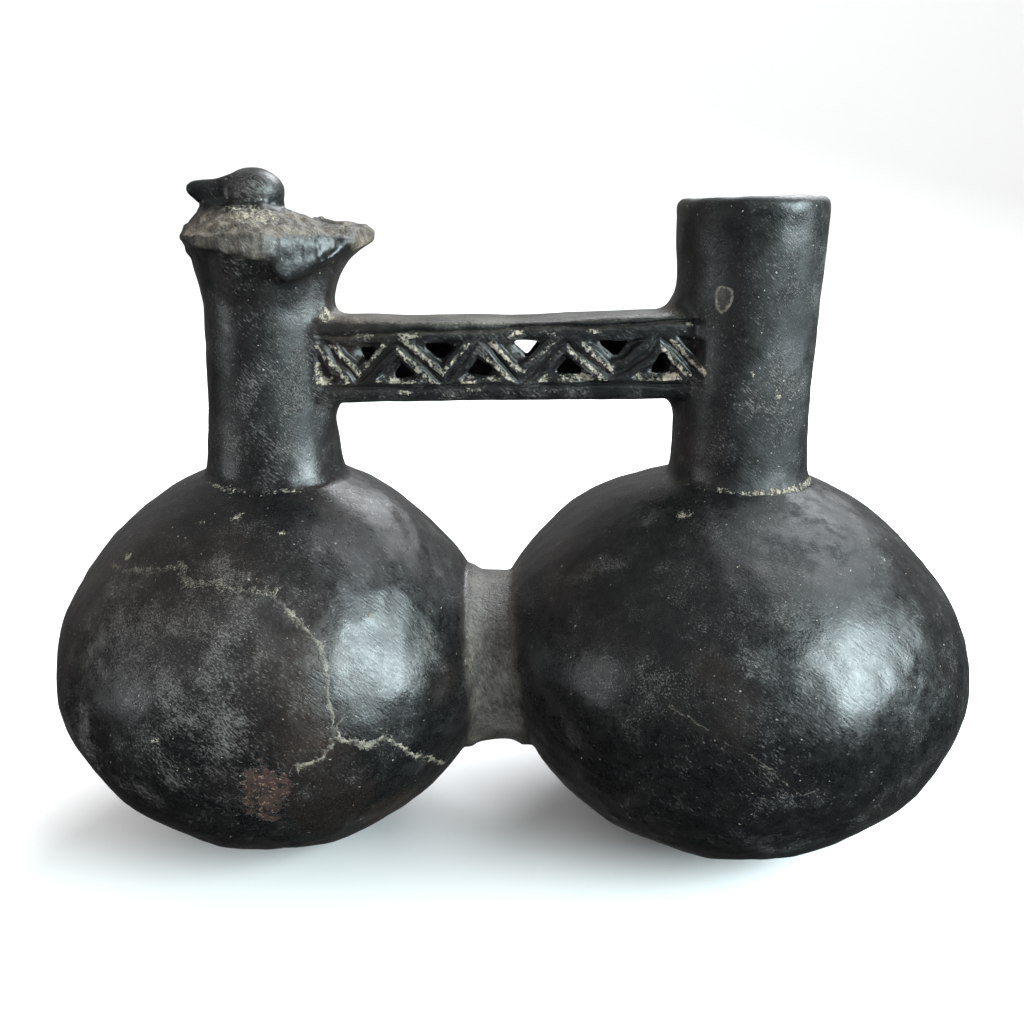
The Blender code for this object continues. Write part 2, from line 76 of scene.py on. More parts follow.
figure = {
    "head": ((-59.0, 0.0, 161.4), (6.9, 6.5, 5.75)),
    "crown": ((-59.2, 0.0, 163.7), (5.5, 4.7, 3.5)),
    # the beak, as x and height
    "beak": [(-73.9, 162.8), (-72.7, 163.8), (-67.4, 164.6), (-62.5, 166.1), (-58.0, 163.0), (-60.0, 156.0),
             (-70.2, 157.2), (-71.0, 158.9), (-73.4, 161.3)],
    "beakHalf": 3.7, "beakRounding": 1.5,
    # the broken flange from above, as x and how far it comes forward
    "flange": [(-76.3, 1.0), (-74.9, 8.5), (-69.4, 18.4), (-63.5, 20.2), (-57.0, 20.8), (-53.0, 20.0), (-48.8, 14.6),
               (-45.6, 7.0), (-44.5, -4.0), (-48.0, -12.5), (-56.0, -17.2), (-64.0, -16.8), (-71.5, -11.8),
               (-75.4, -5.0)],
    "flangeLow": 150.3, "flangeHigh": 152.9, "flangeDrop": 0.16, "flangeDropFrom": -69.4, "flangeRounding": 0.45,
    # the lump under the flange, as x and height
    "lug": [(-52.6, 152.7), (-44.0, 153.2), (-36.0, 152.7), (-33.8, 151.0), (-36.2, 148.9), (-40.5, 146.8),
            (-44.6, 144.2), (-50.0, 141.7), (-51.6, 144.2), (-52.6, 147.5)],
    "lugNear": -20.4, "lugFar": 2.0, "lugSlant": 0.66, "lugUnder": 0.3, "lugOver": 0.2, "lugFold": 147.2,
    "lugRounding": 1.6,
    "stub": [(-60.0, 155.0), (-44.0, 155.4), (-37.4, 155.1), (-34.4, 154.5), (-31.9, 152.8), (-32.4, 150.6),
             (-35.8, 148.6), (-38.5, 146.4), (-40.5, 143.4), (-41.8, 140.2), (-42.4, 136.6), (-43.0, 131.0),
             (-60.0, 131.0)],
    "stubHalf": 7.6, "stubRounding": 1.8, "stubFall": 1.3, "stubFallY": (2.0, -8.0), "stubFallUp": (150.0, 155.0),
    "stubCut": ((-32.9, -1.5, 151.5), (0.86, -0.48, -0.16)),
}

bridge = {
    "middle": (-1.99, 0.0, 124.28), "half": 40.53, "height": 19.5, "halfDepth": 9.5, "rise": 1.2, "corner": 3.6,
    "rounding": 2.2, "wall": 3.4, "topDip": 0.8, "filletHalfDepth": 6.2, "waver": 0.32,
    "endsIn": 8.0, "hollowIn": 2.2, "barDip": 32, "filletDip": 24, "dipStep": 8, "cutOver": 3.0, "cutIn": 1.5,
    # the zigzag's tips along the bridge, and the heights of its zone and grooves over the bridge's middle line
    "frontTips": [-43.6, -35.3, -26.5, -15.8, -7.2, 2.3, 12.9, 23.9, 34.7, 43.9],
    "backTips": [-40.4, -33.0, -25.7, -18.3, -11.0, -3.6, 3.7, 11.1, 18.4, 25.8, 33.1, 40.5],
    "zoneLow": -4.8, "zoneHigh": 4.7, "topGroove": 7.3, "topGrooveRise": 0.0224, "lowGroove": -5.9,
    "barHalf": 2.15, "barSlope": 0.9, "barGroove": 0.62, "recess": 1.75, "grooveDepth": 1.05,
    # each window's middle, height over the middle line, width, height, and whether it points up
    "frontWindows": [(-33.3, 1.5, 5.0, 3.7, False), (-24.9, -1.7, 6.0, 4.3, True), (-16.3, 1.9, 8.6, 4.7, False),
                     (-7.2, -1.2, 6.9, 4.5, True), (4.0, 2.1, 8.4, 4.6, False), (13.6, -1.3, 7.8, 4.5, True),
                     (24.0, 2.1, 8.4, 4.5, False), (34.9, -0.6, 5.8, 5.8, True)],
    "backWindows": [(-25.7, 1.0, 6.6, 5.6, False), (-11.0, 1.0, 6.6, 5.6, False), (3.5, 0.9, 8.2, 5.4, False),
                    (18.4, 1.0, 6.6, 5.6, False), (33.1, 1.0, 6.6, 5.6, False)],
    "windowCorner": 1.75, "windowWaver": 0.2, "windowLumps": 4.0,
    # the grooves' sway: its height, turns and start
    "sway": ((0.22, 0.21, 0.0), (0.10, 0.53, 1.0)),
    # the part of the skin that gets finer faces: along the bridge and in height
    "fineFrom": -46.0, "fineTo": 45.0, "fineLow": 113.0, "fineHigh": 137.0,
    # the faces that are carved: from where to where along the bridge, and between which heights
    "carvedFrom": (-45.6, -43.4), "carvedTo": (42.4, 44.6), "carvedLow": 112.0, "carvedHigh": 138.0,
}

# rough surfaces: the heights where each begins and ends, and its lumps' depth, size, seed and share in height
rough = {
    "crust": ((153.2, 155.0), (158.8, 160.8), ((0.16, 3.4, 7, 1.0), (0.09, 1.9, 9, 1.0))),
    "brokenEdge": ((146.5, 148.0), (152.6, 154.0), ((0.13, 2.2, 11, 0.4), (0.14, 6.0, 12, 1.0))),
    "flangeTop": ((151.4, 152.2), (155.6, 156.6), ((0.22, 5.0, 13, 1.0), (0.09, 2.2, 14, 1.0))),
    "spoutRim": (154.0, 158.5), "rimLumps": 0.14, "rimLumpSize": 11.0,
}

mesh = {"bodySteps": 192, "bodyRings": 64, "neckSteps": 96, "voxel": 0.7, "innerVoxel": 1.1, "smoothTimes": 3,
        "innerSmoothTimes": 3, "easeTimes": 40, "innerSteps": 64, "innerRings": 20, "boreSteps": 48, "arcSteps": 8,
        "trianglesWanted": 188000}


def smooth(low, high, value):
    share = np.clip((value - low) / (high - low), 0.0, 1.0)
    return share * share * (3.0 - 2.0 * share)


def band(value, start, end):  # 1 between a soft start and a soft end
    return smooth(*start, value) * (1 - smooth(*end, value))


def arc(steps, end=math.pi / 2):
    return [end * step / steps for step in range(steps + 1)]


def lumps(points, size, seed, waves=24):  # a soft random field of unit spread, with lumps of about that size
    dice = np.random.default_rng(seed)
    ways = dice.normal(size=(waves, 3))
    ways *= 2 * math.pi / size * dice.uniform(0.55, 1.5, (waves, 1)) / np.linalg.norm(ways, axis=1, keepdims=True)
    return np.sin(points @ ways.T + dice.uniform(0, 2 * math.pi, waves)).sum(axis=1) * math.sqrt(2 / waves)


def spun(profile, steps, middle=(0.0, 0.0, 0.0), lean=0.0, axis="Z"):
    bm = bmesh.new()
    if axis == "Z":
        ring = [bm.verts.new((r, 0.0, z)) for r, z in profile]
    else:
        ring = [bm.verts.new((x, 0.0, r)) for r, x in profile]
    edges = [bm.edges.new(pair) for pair in zip(ring, ring[1:])]
    bmesh.ops.spin(bm, geom=ring + edges, cent=(0, 0, 0), axis=(0, 0, 1) if axis == "Z" else (1, 0, 0),
                   angle=2 * math.pi, steps=steps, use_merge=True)
    bmesh.ops.remove_doubles(bm, verts=bm.verts, dist=0.001)
    bmesh.ops.rotate(bm, verts=bm.verts, cent=(0, 0, 0), matrix=Matrix.Rotation(math.radians(lean), 3, "Y"))
    bmesh.ops.translate(bm, verts=bm.verts, vec=middle)
    bmesh.ops.recalc_face_normals(bm, faces=bm.faces)
    return bm


def oval(middle, radii, turn=0.0):
    bm = bmesh.new()
    bmesh.ops.create_icosphere(bm, subdivisions=4, radius=1.0)
    bmesh.ops.scale(bm, verts=bm.verts, vec=radii)
    bmesh.ops.rotate(bm, verts=bm.verts, cent=(0, 0, 0), matrix=Matrix.Rotation(math.radians(turn), 3, "Y"))
    bmesh.ops.translate(bm, verts=bm.verts, vec=middle)
    return bm


def plate(outline, near, far, rounding):  # a flat outline in XZ with a depth along Y and rounded edges
    bm = bmesh.new()
    face = bm.faces.new([bm.verts.new((x, near, z)) for x, z in outline])
    drawn = bmesh.ops.extrude_face_region(bm, geom=[face])["geom"]
    bmesh.ops.translate(bm, verts=[v for v in drawn if isinstance(v, bmesh.types.BMVert)], vec=(0.0, far - near, 0.0))
    bmesh.ops.recalc_face_normals(bm, faces=bm.faces)
    if rounding:
        rims = [e for e in bm.edges if abs(e.verts[0].co.y - e.verts[1].co.y) < 0.001]
        bmesh.ops.bevel(bm, geom=rims, offset=rounding, segments=3, affect="EDGES", profile=0.5, material=-1,
                        clamp_overlap=True)
    return bm


def gathered(name, forms):  # one object that holds all these forms
    whole = bmesh.new()
    for form in forms:
        part = bpy.data.meshes.new(name)
        form.to_mesh(part)
        form.free()
        whole.from_mesh(part)
        bpy.data.meshes.remove(part)
    data = bpy.data.meshes.new(name)
    whole.to_mesh(data)
    whole.free()
    obj = bpy.data.objects.new(name, data)
    scene.collection.objects.link(obj)
    return obj


def settled(obj):  # applies all modifiers of an object
    graph = bpy.context.evaluated_depsgraph_get()
    data = bpy.data.meshes.new_from_object(obj.evaluated_get(graph))
    obj.modifiers.clear()
    old, obj.data = obj.data, data
    bpy.data.meshes.remove(old)
    return obj


def fused(obj, voxel, times):  # one skin round all forms, softened where they meet
    remesh = obj.modifiers.new("skin", "REMESH")
    remesh.mode, remesh.voxel_size = "VOXEL", voxel
    soften = obj.modifiers.new("soften", "SMOOTH")
    soften.factor, soften.iterations = 0.5, times
    return settled(obj)


def carved(obj, cutter):
    cut = obj.modifiers.new("carve", "BOOLEAN")
    cut.operation, cut.solver, cut.object = "DIFFERENCE", "MANIFOLD", cutter
    settled(obj)
    bpy.data.objects.remove(cutter, do_unlink=True)
    return obj


def bodyOutline(radius, up, down, upRound, downRound, rings):
    points = []
    for step in range(-rings, rings + 1):
        angle = math.pi / 2 * abs(step) / rings
        high, roundness = (up, upRound) if step < 0 else (-down, downRound)
        across = math.cos(angle) ** (2 / roundness) if abs(step) < rings else 0.0
        points.append((radius * across, high * math.sin(angle) ** (2 / roundness)))
    return points


def sideOutline(side, inset, base, rings):
    b = bodies
    return bodyOutline(b[side + "Radius"] - inset, b[side + "Up"] - inset, b[side + "Down"] - base,
                       b[side + "UpRound"], b[side + "DownRound"], rings)


def bridgeTop(reach):  # the worn, slightly hollow top edge
    b = bridge
    return [(x, b["height"] / 2 - b["topDip"] * math.cos(math.pi * x / 2 / b["half"]) ** 2)
            for x in range(-reach, reach + 1, b["dipStep"])]


def barOutline():
    b = bridge
    half, edge = b["half"] + b["endsIn"], b["height"] / 2
    return [(-half, edge)] + bridgeTop(b["barDip"]) + [(half, edge), (half, -edge), (-half, -edge)]


def filletOutline():  # a slimmer plate that swells where the bridge meets the necks
    b = bridge
    half, edge, corner = b["half"], b["height"] / 2 + b["corner"], b["corner"]
    turn = arc(4)
    left = [(-half - b["endsIn"], edge)]
    left += [(-half + corner - corner * math.cos(a), edge - corner * math.sin(a)) for a in turn]
    right = [(half - corner + corner * math.sin(a), edge - corner * math.cos(a)) for a in turn]
    right += [(half + b["endsIn"], edge)]
    return left + bridgeTop(b["filletDip"]) + right + [(x, -z) for x, z in reversed(left + right)]


def onBridge(form):  # from the bridge's own middle to where it stands, with its rise towards the spout
    b = bridge
    slope = math.atan2(b["rise"], 2 * b["half"])
    bmesh.ops.rotate(form, verts=form.verts, cent=(0, 0, 0), matrix=Matrix.Rotation(-slope, 3, "Y"))
    bmesh.ops.translate(form, verts=form.verts, vec=b["middle"])
    return form


def windowForm(x, over, wide, high, pointsUp, near, far):
    x -= bridge["middle"][0]
    flat, tip = (over - high / 2, over + high / 2) if pointsUp else (over + high / 2, over - high / 2)
    bm = plate([(x - wide / 2, flat), (x + wide / 2, flat), (x, tip)], near, far, 0.0)
    corners = [e for e in bm.edges if abs(e.verts[0].co.y - e.verts[1].co.y) > 1.0]
    bmesh.ops.bevel(bm, geom=corners, offset=bridge["windowCorner"], segments=4, affect="EDGES", profile=0.5,
                    material=-1)
    for vert in bm.verts:
        shift = lumps(np.array([[vert.co.x, 0.0, vert.co.z * 1.3 + x]]), bridge["windowLumps"], 31)[0]
        vert.co.x += bridge["windowWaver"] * shift
        vert.co.z += bridge["windowWaver"] * shift * 0.7
    return onBridge(bm)


# The floor, with a wall that it curves up to
def makeStage():
    s = stage
    bm = bmesh.new()
    curve = [(s["floorFront"], -s["floorDrop"]), (s["wallBack"], -s["floorDrop"])]
    curve += [(s["wallBack"] + s["wallCurve"] * math.sin(a), s["wallCurve"] * (1 - math.cos(a)) - s["floorDrop"])
              for a in arc(s["curveSteps"])[1:]]
    curve += [(s["wallBack"] + s["wallCurve"], s["wallTop"])]
    line = [bm.verts.new((-s["floorWide"] / 2, y, z)) for y, z in curve]
    edges = [bm.edges.new(pair) for pair in zip(line, line[1:])]
    drawn = bmesh.ops.extrude_edge_only(bm, edges=edges)["geom"]
    bmesh.ops.translate(bm, verts=[v for v in drawn if isinstance(v, bmesh.types.BMVert)], vec=(s["floorWide"], 0, 0))
    bmesh.ops.recalc_face_normals(bm, faces=bm.faces)
    bmesh.ops.scale(bm, verts=bm.verts, vec=(mm, mm, mm))
    floor = gathered("pale_floor", [bm])
    floor.data.shade_smooth()
    paint = Paint("floor_paper")
    paint.shade({"Base Color": tones["floor"], "Roughness": 0.9, "Specular IOR Level": 0.1})
    floor.data.materials.append(paint.material)
    floor.visible_glossy = False  # the dark room is what the clay mirrors
    view = bpy.data.cameras.new("photo_view")
    view.lens, view.sensor_width = s["lens"], s["sensor"]
    view.clip_start, view.clip_end = s["clipStart"], s["clipEnd"]
    camera = bpy.data.objects.new("photo_view", view)
    camera.location = [c * mm for c in s["eye"]]
    camera.rotation_euler = (math.radians(90 - s["pitchDown"]), 0, 0)
    scene.collection.objects.link(camera)
    scene.camera = camera
    print("stage: floor and camera")


# the colours of the floor and the clay
tones = {
    "floor": (0.86, 0.86, 0.86, 1.0),
    "skinDark": (0.0030, 0.0034, 0.0037, 1), "skinPale": (0.0062, 0.0062, 0.0062, 1),
    "brown": (0.021, 0.0140, 0.0108, 1),
    "dust": (0.078, 0.076, 0.072, 1), "flecks": (0.135, 0.132, 0.122, 1), "specks": (0.27, 0.25, 0.20, 1),
    "clayDark": (0.030, 0.024, 0.018, 1), "clayPale": (0.225, 0.182, 0.133, 1),
    "tubeDark": (0.050, 0.048, 0.044, 1), "tubePale": (0.190, 0.183, 0.167, 1),
    "patchDark": (0.006, 0.0034, 0.0028, 1), "patchRed": (0.031, 0.0120, 0.0078, 1),
    "patchDust": (0.20, 0.120, 0.086, 1),
    "limeDark": (0.095, 0.088, 0.068, 1), "limePale": (0.340, 0.300, 0.232, 1),
}

lamps = {
    # name: azimuth to the right of the front, elevation, distance, width, height, watts, colour
    "window": (59.0, 20.0, 900.0, 520.0, 560.0, 22.0, (0.79, 0.95, 0.98)),
    "ceiling": (142.0, 50.0, 1500.0, 1200.0, 900.0, 38.0, (0.93, 0.97, 1.0)),
    "leftPanel": (-66.0, 2.0, 900.0, 110.0, 150.0, 1.1, (0.95, 0.98, 1.0)),
    "aim": (0.0, 0.0, 70.0),
    # what the clay mirrors of the room: its brightness below and above, and where that changes
    "roomLow": 0.01, "roomHigh": 0.27, "changeFrom": -0.3, "changeTo": 0.42, "roomLight": 0.95,
    "roomColour": (1.0, 0.99, 0.975, 1.0),
    # what it mirrors of the pale wall behind it, at its own edges
    "beyondFrom": 0.3, "beyondLight": 0.14,
}


def makeLamps():
    aim = Vector(lamps["aim"])
    for name in ("window", "ceiling", "leftPanel"):
        azimuth, elevation, distance, wide, high, watts, colour = lamps[name]
        a, e = math.radians(azimuth), math.radians(elevation)
        way = Vector((math.sin(a) * math.cos(e), -math.cos(a) * math.cos(e), math.sin(e)))
        light = bpy.data.lights.new(name, "AREA")
        light.shape, light.size, light.size_y = "RECTANGLE", wide * mm, high * mm
        light.energy, light.color = watts, colour
        lamp = bpy.data.objects.new(name, light)
        lamp.location = (aim + way * distance) * mm
        lamp.rotation_euler = way.to_track_quat("Z", "Y").to_euler()
        scene.collection.objects.link(lamp)
    scene.world = bpy.data.worlds.new("soft_room")
    room = Paint("soft_room", scene.world)
    way = room.add("TexCoord")
    height = room.add("SeparateXYZ", None, {"Vector": way}, "Z")
    beyond = room.add("SeparateXYZ", None, {"Vector": way}, "Y")
    mirrored = room.add("LightPath", None, None, "Is Glossy Ray")
    dim = room.steps(height, lamps["changeFrom"], lamps["changeTo"], lamps["roomLow"], lamps["roomHigh"])
    dim = dim + room.steps(beyond, lamps["beyondFrom"], 1.0, 0.0, lamps["beyondLight"])
    strength = mirrored * dim + (1 - mirrored) * lamps["roomLight"]
    glow = room.add("Background", None, {"Color": lamps["roomColour"], "Strength": strength})
    room.tree.links.new(glow.socket, room.tree.nodes.new("ShaderNodeOutputWorld").inputs["Surface"])
    scene.view_settings.view_transform = "Standard"
    print("stage: lamps")


class Wire:  # a socket that works in sums
    def __init__(self, paint, socket):
        self.paint, self.socket = paint, socket

    def sum(self, kind, first, second):
        return self.paint.add("Math", {"operation": kind}, {0: first, 1: second})

    def __add__(self, other):
        return self.sum("ADD", self, other)

    def __sub__(self, other):
        return self.sum("SUBTRACT", self, other)

    def __rsub__(self, other):
        return self.sum("SUBTRACT", other, self)

    def __mul__(self, other):
        return self.sum("MULTIPLY", self, other)


class Paint:
    def __init__(self, name, owner=None):
        self.material = owner or bpy.data.materials.new(name)
        self.material.use_nodes = True
        self.tree = self.material.node_tree
        self.tree.nodes.clear()

    def add(self, kind, settings=None, inputs=None, output=0):
        node = self.tree.nodes.new("ShaderNode" + kind)
        for key, value in (settings or {}).items():
            setattr(node, key, value)
        for key, value in (inputs or {}).items():
            if isinstance(value, Wire):
                self.tree.links.new(value.socket, node.inputs[key])
            else:
                node.inputs[key].default_value = value
        return Wire(self, node.outputs[output])

    def shade(self, inputs):
        shader = self.add("BsdfPrincipled", None, inputs)
        out = self.tree.nodes.new("ShaderNodeOutputMaterial")
        self.tree.links.new(shader.socket, out.inputs["Surface"])

    def steps(self, value, low, high, bottom=0.0, top=1.0):
        return self.add("MapRange", {"interpolation_type": "SMOOTHSTEP"},
                        {"Value": value, "From Min": low, "From Max": high, "To Min": bottom, "To Max": top})

    def mix(self, share, first, second):
        return self.add("Mix", {"data_type": "RGBA"}, {0: share, 6: first, 7: second}, 2)

    def noise(self, place, scale, detail=2.0, rough=0.5, bend=0.0):
        return self.add("TexNoise", None, {"Vector": place, "Scale": scale, "Detail": detail, "Roughness": rough,
                                           "Distortion": bend})

    def greater(self, first, second):
        return self.add("Math", {"operation": "MAXIMUM"}, {0: first, 1: second})

    def lesser(self, first, second):
        return self.add("Math", {"operation": "MINIMUM"}, {0: first, 1: second})


# The clay itself: two bodies, the tube, the necks, the bird head on its broken flange, and the bridge
def crustForm():
    n = necks
    form = spun(n["leftOutline"], mesh["neckSteps"], (n["leftX"], 0.0, 0.0))
    for vert in form.verts:
        vert.co.x -= n["crustShift"] * float(smooth(n["crustFrom"], n["crustTo"], vert.co.z))
    return form


def spoutForm():
    n = necks
    radius, lip, rim = n["spoutRadius"], n["lip"], n["rim"]
    profile = [(0.0, rim)]
    profile += [(radius - lip + lip * math.sin(a), rim - lip + lip * math.cos(a)) for a in arc(mesh["arcSteps"])]
    return spun(profile + n["rightOutline"], mesh["neckSteps"], (n["rightX"], 0.0, 0.0))


def spoutBore():
    n = necks
    lip, rim, bore = n["lip"], n["rim"], n["bore"]
    over, waist, end = rim + n["mouthOver"] * lip, bore - n["boreIn"], n["boreEnd"]
    profile = [(0.0, over), (bore + n["mouthWiden"] * lip, over)]
    profile += [(bore + lip - lip * math.sin(a), rim + lip * n["lipOver"] - lip + lip * math.cos(a))
                for a in arc(mesh["arcSteps"])]
    profile += [(waist, n["boreWaist"]), (waist, end), (0.0, end)]
    return spun(profile, mesh["neckSteps"], (n["rightX"], 0.0, 0.0))


def tubeForm():
    b = bodies
    radius, curve, straight = b["tubeRadius"], b["tubeFillet"], b["tubeStraight"]
    right = [(radius + curve * (1 - math.cos(a)), straight + curve * math.sin(a))
             for a in arc(mesh["arcSteps"], math.radians(b["tubeTurn"]))]
    over, along = b["tubeCollar"]
    right += [(radius + over, along), (radius - b["tubeTuck"], b["tubeHalf"]), (0.0, b["tubeHalf"])]
    profile = [(r, -x) for r, x in reversed(right)] + right
    return spun(profile, mesh["neckSteps"], b["tubeMiddle"], 0.0, "X")


def beakForm():
    return plate(figure["beak"], -figure["beakHalf"], figure["beakHalf"], figure["beakRounding"])


def flangeForm():  # a plate seen from above, thicker towards the stub
    f = figure
    form = plate(f["flange"], f["flangeLow"], f["flangeHigh"], 0.0)
    bmesh.ops.rotate(form, verts=form.verts, cent=(0, 0, 0), matrix=Matrix.Rotation(math.radians(90), 3, "X"))
    for vert in form.verts:
        if vert.co.z < (f["flangeLow"] + f["flangeHigh"]) / 2:
            vert.co.z -= f["flangeDrop"] * (vert.co.x - f["flangeDropFrom"])
    bmesh.ops.bevel(form, geom=form.edges[:], offset=f["flangeRounding"], segments=2, affect="EDGES", profile=0.5,
                    material=-1)
    return form


def lugForm():  # its front slants back towards the stub, and its underside folds in
    f = figure
    form = plate(f["lug"], 0.0, f["lugFar"], 0.0)
    near = [v for v in form.verts if v.co.y < 0.001]
    for vert in near:
        fold = f["lugUnder"] * max(0.0, f["lugFold"] - vert.co.z) + f["lugOver"] * max(0.0, vert.co.z - f["lugFold"])
        vert.co.y = f["lugNear"] + f["lugSlant"] * (vert.co.x - f["lug"][0][0]) + fold
    rims = [e for e in form.edges if e.verts[0] in near or e.verts[1] in near]
    bmesh.ops.bevel(form, geom=rims, offset=f["lugRounding"], segments=3, affect="EDGES", profile=0.5, material=-1)
    return form


def stubForm():  # it falls towards the front, and its end is broken off aslant
    f = figure
    form = plate(f["stub"], -f["stubHalf"], f["stubHalf"], f["stubRounding"])
    for vert in form.verts:
        share = smooth(*f["stubFallY"], vert.co.y) * smooth(*f["stubFallUp"], vert.co.z)
        vert.co.z -= f["stubFall"] * float(share)
    point, way = f["stubCut"]
    cut = bmesh.ops.bisect_plane(form, geom=form.verts[:] + form.edges[:] + form.faces[:],
                                 plane_co=point, plane_no=way, clear_outer=True)
    bmesh.ops.edgeloop_fill(form, edges=[e for e in cut["geom_cut"] if isinstance(e, bmesh.types.BMEdge)])
    bmesh.ops.recalc_face_normals(form, faces=form.faces)
    return form


def outerForms():
    b, f, g = bodies, figure, bridge
    return [
        spun(sideOutline("left", 0.0, 0.0, mesh["bodyRings"]), mesh["bodySteps"], b["leftMiddle"]),
        spun(sideOutline("right", 0.0, 0.0, mesh["bodyRings"]), mesh["bodySteps"], b["rightMiddle"], b["rightLean"]),
        tubeForm(), crustForm(), spoutForm(),
        onBridge(plate(barOutline(), -g["halfDepth"], g["halfDepth"], g["rounding"])),
        onBridge(plate(filletOutline(), -g["filletHalfDepth"], g["filletHalfDepth"], g["rounding"])),
        oval(*f["head"]), oval(*f["crown"]), beakForm(), flangeForm(), lugForm(), stubForm(),
    ]


def innerForms():
    b, n, g = bodies, necks, bridge
    boreHalf = b["tubeHalf"] + b["wall"] + b["boreOver"]
    boreRadius = b["tubeRadius"] - b["tubeWall"]
    top, end, radius, chamfer = n["leftBoreTop"], n["leftBoreEnd"], n["leftBore"], n["leftBoreChamfer"]
    inEnd, inHigh, inDeep = g["half"] - g["hollowIn"], g["height"] / 2 - g["wall"], g["halfDepth"] - g["wall"]
    left = sideOutline("left", b["wall"], b["base"], mesh["innerRings"])
    right = sideOutline("right", b["wall"], b["base"], mesh["innerRings"])
    tube = [(0.0, boreHalf), (boreRadius, boreHalf), (boreRadius, -boreHalf), (0.0, -boreHalf)]
    neck = [(0.0, top), (radius - chamfer, top), (radius, top - chamfer), (radius, end), (0.0, end)]
    box = [(-inEnd, -inHigh), (inEnd, -inHigh), (inEnd, inHigh), (-inEnd, inHigh)]
    return [
        spun(left, mesh["innerSteps"], b["leftMiddle"]),
        spun(right, mesh["innerSteps"], b["rightMiddle"], b["rightLean"]),
        spun(tube, mesh["boreSteps"], b["tubeMiddle"], 0.0, "X"),
        spun(neck, mesh["boreSteps"], (n["leftX"], 0.0, 0.0)),
        onBridge(plate(box, -inDeep, inDeep, 0.0)),
    ]


def zigzag(x, over, tips):  # distance from the zigzag's middle line, on which side, and whether that bar rises
    g = bridge
    ends = [(tip, g["zoneHigh"] if i % 2 == 0 else g["zoneLow"]) for i, tip in enumerate(tips)]
    near = np.full(x.shape, 1e9)
    side = np.zeros(x.shape)
    rising = np.zeros(x.shape, bool)
    for (x0, z0), (x1, z1) in zip(ends, ends[1:]):
        dx, dz = x1 - x0, z1 - z0
        share = np.clip(((x - x0) * dx + (over - z0) * dz) / (dx * dx + dz * dz), 0.0, 1.0)
        away = np.hypot(x - x0 - share * dx, over - z0 - share * dz)
        closer = away < near
        near = np.where(closer, away, near)
        across = ((x - x0) * -dz + (over - z0) * dx) / math.hypot(dx, dz)
        side = np.where(closer, across, side)
        rising = np.where(closer, dz > 0, rising)
    return near, side, rising


def overMiddle(x, z):  # height over the bridge's middle line, which rises towards the spout
    g = bridge
    return z - g["middle"][2] - (x - g["middle"][0]) * g["rise"] / 2 / g["half"]


def reliefDepth(x, over, tips):  # how deep the front or the back of the bridge is carved
    g = bridge
    wobble = sum(high * np.sin(x * turns + start) for high, turns, start in g["sway"])
    topGroove = over - g["topGroove"] - g["topGrooveRise"] * x - wobble
    rail = (1 - smooth(0.1, 0.65, np.abs(topGroove))) + (1 - smooth(0.1, 0.6, np.abs(over - g["lowGroove"] + wobble)))
    along = np.stack([x, over * 0.7, np.full(x.shape, tips[0])], axis=1)
    x, over = x + g["waver"] * lumps(along, 7.0, 21), over + g["waver"] * lumps(along, 9.0, 22)
    near = zigzag(x, over, tips)[0]
    low, high = g["zoneLow"], g["zoneHigh"]
    inZone = smooth(low - 0.1, low + 1.5, over) * (1 - smooth(high - 0.8, high + 0.1, over))
    recess = g["recess"] * smooth(g["barHalf"], g["barHalf"] + g["barSlope"], near) * inZone
    inBars = smooth(low - 0.6, low + 0.4, over) * (1 - smooth(high - 0.4, high + 0.6, over))
    groove = 0.8 * g["grooveDepth"] * (1 - smooth(0.25, g["barGroove"] + 0.35, near)) * inBars
    return np.maximum(recess, groove) + g["grooveDepth"] * rail


def readMesh(data):
    place = np.empty(len(data.vertices) * 3, np.float32)
    data.vertices.foreach_get("co", place)
    facing = np.empty(len(data.vertices) * 3, np.float32)
    data.vertices.foreach_get("normal", facing)
    return place.reshape(-1, 3).astype(float), facing.reshape(-1, 3).astype(float)


def refined(obj):  # finer faces where the bridge is carved
    bm = bmesh.new()
    bm.from_mesh(obj.data)
    g = bridge
    for face in bm.faces:
        x, y, z = face.calc_center_median()
        onFace = abs(y) > g["halfDepth"] - 1.0 and abs(face.normal.y) > 0.6
        face.tag = onFace and g["fineFrom"] < x < g["fineTo"] and g["fineLow"] < z < g["fineHigh"]
    edges = [edge for edge in bm.edges if any(face.tag for face in edge.link_faces)]
    bmesh.ops.subdivide_edges(bm, edges=edges, cuts=1, use_grid_fill=True)
    bm.to_mesh(obj.data)
    bm.free()


def eased(obj, spots, times):  # rounds the skin off near these spots
    share = nearness(readMesh(obj.data)[0], spots, 0.4)
    group = obj.vertex_groups.new(name="eased")
    for index in np.nonzero(share > 0.01)[0]:
        group.add([int(index)], float(share[index]), "REPLACE")
    soften = obj.modifiers.new("ease", "SMOOTH")
    soften.factor, soften.iterations, soften.vertex_group = 0.5, times, group.name
    settled(obj)
    obj.vertex_groups.clear()


